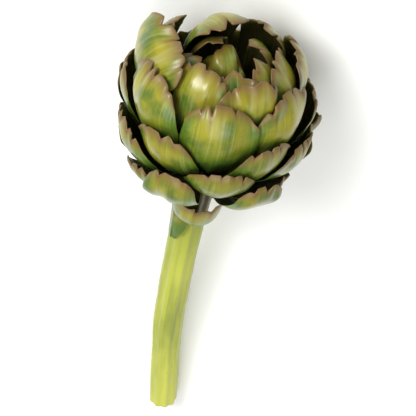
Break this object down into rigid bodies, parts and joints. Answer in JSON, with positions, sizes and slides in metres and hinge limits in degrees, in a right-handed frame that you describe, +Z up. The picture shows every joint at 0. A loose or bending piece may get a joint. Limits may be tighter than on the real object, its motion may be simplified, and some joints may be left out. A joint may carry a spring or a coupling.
{
  "type": "globe artichoke",
  "caption": "Globe artichoke as picked: a round open head of overlapping cupped bracts with jagged tips, on a long stalk, lying on its side.",
  "frame": {"origin": "on the surface that the artichoke lies on, under the middle of its bounding box", "axes": "+X from the cut end of the stalk towards the head, +Z up, +Y to the left seen from the stalk's cut end"},
  "size_m": [0.309, 0.1088, 0.1008],
  "materials": {
    "stalk": "pale yellow-green plant stalk, ribbed lengthwise, satin",
    "outer_bract": "waxy green bract with a brown-purple toothed edge, satin",
    "inner_bract": "waxy yellow-green bract with a brown toothed edge, satin"
  },
  "bodies": {
    "root": {"base_bract_1": "outer_bract", "base_bract_2": "outer_bract", "base_bract_3": "outer_bract", "base_bract_4": "outer_bract", "base_bract_5": "outer_bract", "bud_bract_1": "inner_bract", "bud_bract_2": "inner_bract", "bud_bract_3": "inner_bract", "bud_bract_4": "inner_bract", "bud_core": "inner_bract", "inner_bract_1": "inner_bract", "inner_bract_2": "inner_bract", "inner_bract_3": "inner_bract", "inner_bract_4": "inner_bract", "inner_bract_5": "inner_bract", "lower_bract_1": "outer_bract", "lower_bract_2": "outer_bract", "lower_bract_3": "outer_bract", "lower_bract_4": "outer_bract", "lower_bract_5": "outer_bract", "lower_bract_6": "outer_bract", "neck_bract_1": "outer_bract", "neck_bract_2": "outer_bract", "neck_bract_3": "outer_bract", "shoulder_bract_1": "outer_bract", "shoulder_bract_2": "outer_bract", "shoulder_bract_3": "outer_bract", "shoulder_bract_4": "outer_bract", "shoulder_bract_5": "outer_bract", "shoulder_bract_6": "outer_bract", "side_bract_1": "outer_bract", "side_bract_2": "outer_bract", "side_bract_3": "outer_bract", "side_bract_4": "outer_bract", "side_bract_5": "outer_bract", "side_bract_6": "outer_bract", "skirt_bract_1": "outer_bract", "skirt_bract_2": "outer_bract", "skirt_bract_3": "outer_bract", "skirt_bract_4": "outer_bract", "skirt_bract_5": "outer_bract", "skirt_bract_6": "outer_bract", "stalk_and_heart": "stalk", "stalk_leaf_base": "outer_bract", "upper_bract_1": "inner_bract", "upper_bract_2": "inner_bract", "upper_bract_3": "inner_bract", "upper_bract_4": "inner_bract", "upper_bract_5": "inner_bract", "upper_bract_6": "inner_bract"}
  },
  "joints": []
}
